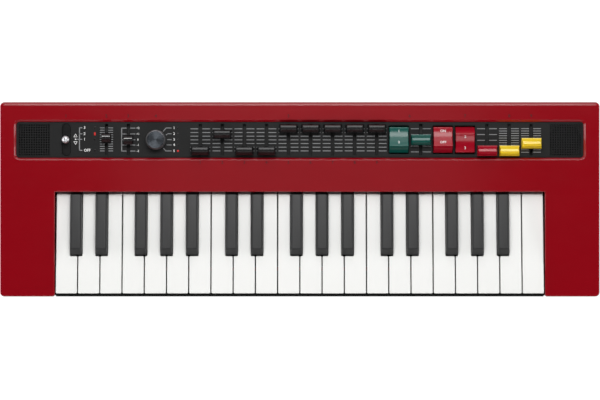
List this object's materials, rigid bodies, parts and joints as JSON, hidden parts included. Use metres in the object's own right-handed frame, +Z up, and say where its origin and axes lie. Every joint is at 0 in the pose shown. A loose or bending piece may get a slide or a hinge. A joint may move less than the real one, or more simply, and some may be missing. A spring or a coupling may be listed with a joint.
{
  "type": "combo organ",
  "caption": "Small combo organ: a red slab case with mini keys, and a recessed black panel of drawbar sliders, rockers, a knob and a lever.",
  "frame": {"origin": "on the table, under the middle of the case", "axes": "+X to the player's right along the keys, +Y away from the player to the rear sockets, +Z up"},
  "size_m": [0.53, 0.175, 0.0598],
  "materials": {
    "red_plastic": "satin moulded red shell",
    "black_plastic": "fine textured black tray",
    "panel_black": "fine grained satin black panel",
    "key_white": "polished white key",
    "key_black": "satin black key",
    "cap_black": "satin black slider cap",
    "cap_red": "satin red cap",
    "cap_teal": "satin teal cap",
    "cap_yellow": "satin yellow cap",
    "spun_metal": "spun dark metal",
    "bright_metal": "bright plated metal"
  },
  "bodies": {
    "case": {"upper_case": "red_plastic", "lower_case": "black_plastic", "control_panel": "panel_black"},
    "distortion_slider": {"distortion_slider": "cap_yellow"},
    "drawbar_1": {"drawbar_1": "cap_black"},
    "drawbar_2": {"drawbar_2": "cap_black"},
    "drawbar_3": {"drawbar_3": "cap_black"},
    "drawbar_4": {"drawbar_4": "cap_black"},
    "drawbar_5": {"drawbar_5": "cap_black"},
    "drawbar_6": {"drawbar_6": "cap_black"},
    "drawbar_7": {"drawbar_7": "cap_black"},
    "drawbar_8": {"drawbar_8": "cap_black"},
    "drawbar_9": {"drawbar_9": "cap_black"},
    "key_01_c": {"key_01_c": "key_white"},
    "key_02_c_sharp": {"key_02_c_sharp": "key_black"},
    "key_03_d": {"key_03_d": "key_white"},
    "key_04_d_sharp": {"key_04_d_sharp": "key_black"},
    "key_05_e": {"key_05_e": "key_white"},
    "key_06_f": {"key_06_f": "key_white"},
    "key_07_f_sharp": {"key_07_f_sharp": "key_black"},
    "key_08_g": {"key_08_g": "key_white"},
    "key_09_g_sharp": {"key_09_g_sharp": "key_black"},
    "key_10_a": {"key_10_a": "key_white"},
    "key_11_a_sharp": {"key_11_a_sharp": "key_black"},
    "key_12_b": {"key_12_b": "key_white"},
    "key_13_c": {"key_13_c": "key_white"},
    "key_14_c_sharp": {"key_14_c_sharp": "key_black"},
    "key_15_d": {"key_15_d": "key_white"},
    "key_16_d_sharp": {"key_16_d_sharp": "key_black"},
    "key_17_e": {"key_17_e": "key_white"},
    "key_18_f": {"key_18_f": "key_white"},
    "key_19_f_sharp": {"key_19_f_sharp": "key_black"},
    "key_20_g": {"key_20_g": "key_white"},
    "key_21_g_sharp": {"key_21_g_sharp": "key_black"},
    "key_22_a": {"key_22_a": "key_white"},
    "key_23_a_sharp": {"key_23_a_sharp": "key_black"},
    "key_24_b": {"key_24_b": "key_white"},
    "key_25_c": {"key_25_c": "key_white"},
    "key_26_c_sharp": {"key_26_c_sharp": "key_black"},
    "key_27_d": {"key_27_d": "key_white"},
    "key_28_d_sharp": {"key_28_d_sharp": "key_black"},
    "key_29_e": {"key_29_e": "key_white"},
    "key_30_f": {"key_30_f": "key_white"},
    "key_31_f_sharp": {"key_31_f_sharp": "key_black"},
    "key_32_g": {"key_32_g": "key_white"},
    "key_33_g_sharp": {"key_33_g_sharp": "key_black"},
    "key_34_a": {"key_34_a": "key_white"},
    "key_35_a_sharp": {"key_35_a_sharp": "key_black"},
    "key_36_b": {"key_36_b": "key_white"},
    "key_37_c": {"key_37_c": "key_white"},
    "octave_slider": {"octave_slider": "cap_black"},
    "percussion_length_slider": {"percussion_length_slider": "cap_red"},
    "percussion_rocker": {"percussion_rocker": "cap_red"},
    "percussion_type_rocker": {"percussion_type_rocker": "cap_red"},
    "reverb_slider": {"reverb_slider": "cap_yellow"},
    "rotary_lever": {"rotary_lever": "bright_metal"},
    "vibrato_chorus_rocker": {"vibrato_chorus_rocker": "cap_teal"},
    "vibrato_depth_slider": {"vibrato_depth_slider": "cap_teal"},
    "volume_slider": {"volume_slider": "cap_black"},
    "wave_knob": {"wave_knob": "spun_metal"}
  },
  "joints": [
    {"name": "rotary_lever_tilt", "type": "hinge", "parent": "case", "child": "rotary_lever", "pos_m": [-0.2066, 0.051, 0.04203], "axis": [1, 0, 0], "range_deg": [-20, 20], "stiffness_Nm_per_rad": 0.02},
    {"name": "volume_slider_slide", "type": "slide", "parent": "case", "child": "volume_slider", "axis": [0, 0.9945, 0.1045], "range_m": [-0.0117, 0.0078]},
    {"name": "octave_slider_slide", "type": "slide", "parent": "case", "child": "octave_slider", "axis": [0, 0.9945, 0.1045], "range_m": [-0.00975, 0.00975]},
    {"name": "wave_knob_turn", "type": "hinge", "parent": "case", "child": "wave_knob", "pos_m": [-0.1272, 0.05037, 0.04799], "axis": [0, -0.1045, 0.9945], "range_deg": [0, 93]},
    {"name": "drawbar_1_slide", "type": "slide", "parent": "case", "child": "drawbar_1", "axis": [0, 0.9945, 0.1045], "range_m": [0, 0.0195]},
    {"name": "drawbar_2_slide", "type": "slide", "parent": "case", "child": "drawbar_2", "axis": [0, 0.9945, 0.1045], "range_m": [-0.01463, 0.00487]},
    {"name": "drawbar_3_slide", "type": "slide", "parent": "case", "child": "drawbar_3", "axis": [0, 0.9945, 0.1045], "range_m": [0, 0.0195]},
    {"name": "drawbar_4_slide", "type": "slide", "parent": "case", "child": "drawbar_4", "axis": [0, 0.9945, 0.1045], "range_m": [0, 0.0195]},
    {"name": "drawbar_5_slide", "type": "slide", "parent": "case", "child": "drawbar_5", "axis": [0, 0.9945, 0.1045], "range_m": [-0.0195, 0]},
    {"name": "drawbar_6_slide", "type": "slide", "parent": "case", "child": "drawbar_6", "axis": [0, 0.9945, 0.1045], "range_m": [-0.0195, 0]},
    {"name": "drawbar_7_slide", "type": "slide", "parent": "case", "child": "drawbar_7", "axis": [0, 0.9945, 0.1045], "range_m": [-0.0195, 0]},
    {"name": "drawbar_8_slide", "type": "slide", "parent": "case", "child": "drawbar_8", "axis": [0, 0.9945, 0.1045], "range_m": [-0.0195, 0]},
    {"name": "drawbar_9_slide", "type": "slide", "parent": "case", "child": "drawbar_9", "axis": [0, 0.9945, 0.1045], "range_m": [-0.0195, 0]},
    {"name": "vibrato_chorus_rocker_rock", "type": "hinge", "parent": "case", "child": "vibrato_chorus_rocker", "pos_m": [0.0875, 0.05081, 0.04382], "axis": [1, 0, 0], "range_deg": [0, 28]},
    {"name": "vibrato_depth_slider_slide", "type": "slide", "parent": "case", "child": "vibrato_depth_slider", "axis": [0, 0.9945, 0.1045], "range_m": [-0.00975, 0.00975]},
    {"name": "percussion_rocker_rock", "type": "hinge", "parent": "case", "child": "percussion_rocker", "pos_m": [0.1265, 0.05081, 0.04382], "axis": [1, 0, 0], "range_deg": [0, 28]},
    {"name": "percussion_type_rocker_rock", "type": "hinge", "parent": "case", "child": "percussion_type_rocker", "pos_m": [0.146, 0.05081, 0.04382], "axis": [1, 0, 0], "range_deg": [-28, 0]},
    {"name": "percussion_length_slider_slide", "type": "slide", "parent": "case", "child": "percussion_length_slider", "axis": [0, 0.9945, 0.1045], "range_m": [0, 0.0195]},
    {"name": "distortion_slider_slide", "type": "slide", "parent": "case", "child": "distortion_slider", "axis": [0, 0.9945, 0.1045], "range_m": [0, 0.0195]},
    {"name": "reverb_slider_slide", "type": "slide", "parent": "case", "child": "reverb_slider", "axis": [0, 0.9945, 0.1045], "range_m": [-0.00663, 0.01287]},
    {"name": "key_01_c_press", "type": "hinge", "parent": "case", "child": "key_01_c", "pos_m": [0, 0.03144, 0.03195], "axis": [1, 0, 0], "range_deg": [0, 3.5], "stiffness_Nm_per_rad": 0.3, "springref_deg": -5.73},
    {"name": "key_02_c_sharp_press", "type": "hinge", "parent": "case", "child": "key_02_c_sharp", "pos_m": [-0.19775, 0.03144, 0.03195], "axis": [1, 0, 0], "range_deg": [0, 3.5], "stiffness_Nm_per_rad": 0.3, "springref_deg": -5.73},
    {"name": "key_03_d_press", "type": "hinge", "parent": "case", "child": "key_03_d", "pos_m": [0, 0.03144, 0.03195], "axis": [1, 0, 0], "range_deg": [0, 3.5], "stiffness_Nm_per_rad": 0.3, "springref_deg": -5.73},
    {"name": "key_04_d_sharp_press", "type": "hinge", "parent": "case", "child": "key_04_d_sharp", "pos_m": [-0.17522, 0.03144, 0.03195], "axis": [1, 0, 0], "range_deg": [0, 3.5], "stiffness_Nm_per_rad": 0.3, "springref_deg": -5.73},
    {"name": "key_05_e_press", "type": "hinge", "parent": "case", "child": "key_05_e", "pos_m": [0, 0.03144, 0.03195], "axis": [1, 0, 0], "range_deg": [0, 3.5], "stiffness_Nm_per_rad": 0.3, "springref_deg": -5.73},
    {"name": "key_06_f_press", "type": "hinge", "parent": "case", "child": "key_06_f", "pos_m": [0, 0.03144, 0.03195], "axis": [1, 0, 0], "range_deg": [0, 3.5], "stiffness_Nm_per_rad": 0.3, "springref_deg": -5.73},
    {"name": "key_07_f_sharp_press", "type": "hinge", "parent": "case", "child": "key_07_f_sharp", "pos_m": [-0.14041, 0.03144, 0.03195], "axis": [1, 0, 0], "range_deg": [0, 3.5], "stiffness_Nm_per_rad": 0.3, "springref_deg": -5.73},
    {"name": "key_08_g_press", "type": "hinge", "parent": "case", "child": "key_08_g", "pos_m": [0, 0.03144, 0.03195], "axis": [1, 0, 0], "range_deg": [0, 3.5], "stiffness_Nm_per_rad": 0.3, "springref_deg": -5.73},
    {"name": "key_09_g_sharp_press", "type": "hinge", "parent": "case", "child": "key_09_g_sharp", "pos_m": [-0.11778, 0.03144, 0.03195], "axis": [1, 0, 0], "range_deg": [0, 3.5], "stiffness_Nm_per_rad": 0.3, "springref_deg": -5.73},
    {"name": "key_10_a_press", "type": "hinge", "parent": "case", "child": "key_10_a", "pos_m": [0, 0.03144, 0.03195], "axis": [1, 0, 0], "range_deg": [0, 3.5], "stiffness_Nm_per_rad": 0.3, "springref_deg": -5.73},
    {"name": "key_11_a_sharp_press", "type": "hinge", "parent": "case", "child": "key_11_a_sharp", "pos_m": [-0.09515, 0.03144, 0.03195], "axis": [1, 0, 0], "range_deg": [0, 3.5], "stiffness_Nm_per_rad": 0.3, "springref_deg": -5.73},
    {"name": "key_12_b_press", "type": "hinge", "parent": "case", "child": "key_12_b", "pos_m": [0, 0.03144, 0.03195], "axis": [1, 0, 0], "range_deg": [0, 3.5], "stiffness_Nm_per_rad": 0.3, "springref_deg": -5.73},
    {"name": "key_13_c_press", "type": "hinge", "parent": "case", "child": "key_13_c", "pos_m": [0, 0.03144, 0.03195], "axis": [1, 0, 0], "range_deg": [0, 3.5], "stiffness_Nm_per_rad": 0.3, "springref_deg": -5.73},
    {"name": "key_14_c_sharp_press", "type": "hinge", "parent": "case", "child": "key_14_c_sharp", "pos_m": [-0.06034, 0.03144, 0.03195], "axis": [1, 0, 0], "range_deg": [0, 3.5], "stiffness_Nm_per_rad": 0.3, "springref_deg": -5.73},
    {"name": "key_15_d_press", "type": "hinge", "parent": "case", "child": "key_15_d", "pos_m": [0, 0.03144, 0.03195], "axis": [1, 0, 0], "range_deg": [0, 3.5], "stiffness_Nm_per_rad": 0.3, "springref_deg": -5.73},
    {"name": "key_16_d_sharp_press", "type": "hinge", "parent": "case", "child": "key_16_d_sharp", "pos_m": [-0.03781, 0.03144, 0.03195], "axis": [1, 0, 0], "range_deg": [0, 3.5], "stiffness_Nm_per_rad": 0.3, "springref_deg": -5.73},
    {"name": "key_17_e_press", "type": "hinge", "parent": "case", "child": "key_17_e", "pos_m": [0, 0.03144, 0.03195], "axis": [1, 0, 0], "range_deg": [0, 3.5], "stiffness_Nm_per_rad": 0.3, "springref_deg": -5.73},
    {"name": "key_18_f_press", "type": "hinge", "parent": "case", "child": "key_18_f", "pos_m": [0, 0.03144, 0.03195], "axis": [1, 0, 0], "range_deg": [0, 3.5], "stiffness_Nm_per_rad": 0.3, "springref_deg": -5.73},
    {"name": "key_19_f_sharp_press", "type": "hinge", "parent": "case", "child": "key_19_f_sharp", "pos_m": [-0.003, 0.03144, 0.03195], "axis": [1, 0, 0], "range_deg": [0, 3.5], "stiffness_Nm_per_rad": 0.3, "springref_deg": -5.73},
    {"name": "key_20_g_press", "type": "hinge", "parent": "case", "child": "key_20_g", "pos_m": [0, 0.03144, 0.03195], "axis": [1, 0, 0], "range_deg": [0, 3.5], "stiffness_Nm_per_rad": 0.3, "springref_deg": -5.73},
    {"name": "key_21_g_sharp_press", "type": "hinge", "parent": "case", "child": "key_21_g_sharp", "pos_m": [0.01963, 0.03144, 0.03195], "axis": [1, 0, 0], "range_deg": [0, 3.5], "stiffness_Nm_per_rad": 0.3, "springref_deg": -5.73},
    {"name": "key_22_a_press", "type": "hinge", "parent": "case", "child": "key_22_a", "pos_m": [0, 0.03144, 0.03195], "axis": [1, 0, 0], "range_deg": [0, 3.5], "stiffness_Nm_per_rad": 0.3, "springref_deg": -5.73},
    {"name": "key_23_a_sharp_press", "type": "hinge", "parent": "case", "child": "key_23_a_sharp", "pos_m": [0.04226, 0.03144, 0.03195], "axis": [1, 0, 0], "range_deg": [0, 3.5], "stiffness_Nm_per_rad": 0.3, "springref_deg": -5.73},
    {"name": "key_24_b_press", "type": "hinge", "parent": "case", "child": "key_24_b", "pos_m": [0, 0.03144, 0.03195], "axis": [1, 0, 0], "range_deg": [0, 3.5], "stiffness_Nm_per_rad": 0.3, "springref_deg": -5.73},
    {"name": "key_25_c_press", "type": "hinge", "parent": "case", "child": "key_25_c", "pos_m": [0, 0.03144, 0.03195], "axis": [1, 0, 0], "range_deg": [0, 3.5], "stiffness_Nm_per_rad": 0.3, "springref_deg": -5.73},
    {"name": "key_26_c_sharp_press", "type": "hinge", "parent": "case", "child": "key_26_c_sharp", "pos_m": [0.07707, 0.03144, 0.03195], "axis": [1, 0, 0], "range_deg": [0, 3.5], "stiffness_Nm_per_rad": 0.3, "springref_deg": -5.73},
    {"name": "key_27_d_press", "type": "hinge", "parent": "case", "child": "key_27_d", "pos_m": [0, 0.03144, 0.03195], "axis": [1, 0, 0], "range_deg": [0, 3.5], "stiffness_Nm_per_rad": 0.3, "springref_deg": -5.73},
    {"name": "key_28_d_sharp_press", "type": "hinge", "parent": "case", "child": "key_28_d_sharp", "pos_m": [0.0996, 0.03144, 0.03195], "axis": [1, 0, 0], "range_deg": [0, 3.5], "stiffness_Nm_per_rad": 0.3, "springref_deg": -5.73},
    {"name": "key_29_e_press", "type": "hinge", "parent": "case", "child": "key_29_e", "pos_m": [0, 0.03144, 0.03195], "axis": [1, 0, 0], "range_deg": [0, 3.5], "stiffness_Nm_per_rad": 0.3, "springref_deg": -5.73},
    {"name": "key_30_f_press", "type": "hinge", "parent": "case", "child": "key_30_f", "pos_m": [0, 0.03144, 0.03195], "axis": [1, 0, 0], "range_deg": [0, 3.5], "stiffness_Nm_per_rad": 0.3, "springref_deg": -5.73},
    {"name": "key_31_f_sharp_press", "type": "hinge", "parent": "case", "child": "key_31_f_sharp", "pos_m": [0.13441, 0.03144, 0.03195], "axis": [1, 0, 0], "range_deg": [0, 3.5], "stiffness_Nm_per_rad": 0.3, "springref_deg": -5.73},
    {"name": "key_32_g_press", "type": "hinge", "parent": "case", "child": "key_32_g", "pos_m": [0, 0.03144, 0.03195], "axis": [1, 0, 0], "range_deg": [0, 3.5], "stiffness_Nm_per_rad": 0.3, "springref_deg": -5.73},
    {"name": "key_33_g_sharp_press", "type": "hinge", "parent": "case", "child": "key_33_g_sharp", "pos_m": [0.15704, 0.03144, 0.03195], "axis": [1, 0, 0], "range_deg": [0, 3.5], "stiffness_Nm_per_rad": 0.3, "springref_deg": -5.73},
    {"name": "key_34_a_press", "type": "hinge", "parent": "case", "child": "key_34_a", "pos_m": [0, 0.03144, 0.03195], "axis": [1, 0, 0], "range_deg": [0, 3.5], "stiffness_Nm_per_rad": 0.3, "springref_deg": -5.73},
    {"name": "key_35_a_sharp_press", "type": "hinge", "parent": "case", "child": "key_35_a_sharp", "pos_m": [0.17967, 0.03144, 0.03195], "axis": [1, 0, 0], "range_deg": [0, 3.5], "stiffness_Nm_per_rad": 0.3, "springref_deg": -5.73},
    {"name": "key_36_b_press", "type": "hinge", "parent": "case", "child": "key_36_b", "pos_m": [0, 0.03144, 0.03195], "axis": [1, 0, 0], "range_deg": [0, 3.5], "stiffness_Nm_per_rad": 0.3, "springref_deg": -5.73},
    {"name": "key_37_c_press", "type": "hinge", "parent": "case", "child": "key_37_c", "pos_m": [0, 0.03144, 0.03195], "axis": [1, 0, 0], "range_deg": [0, 3.5], "stiffness_Nm_per_rad": 0.3, "springref_deg": -5.73}
  ]
}
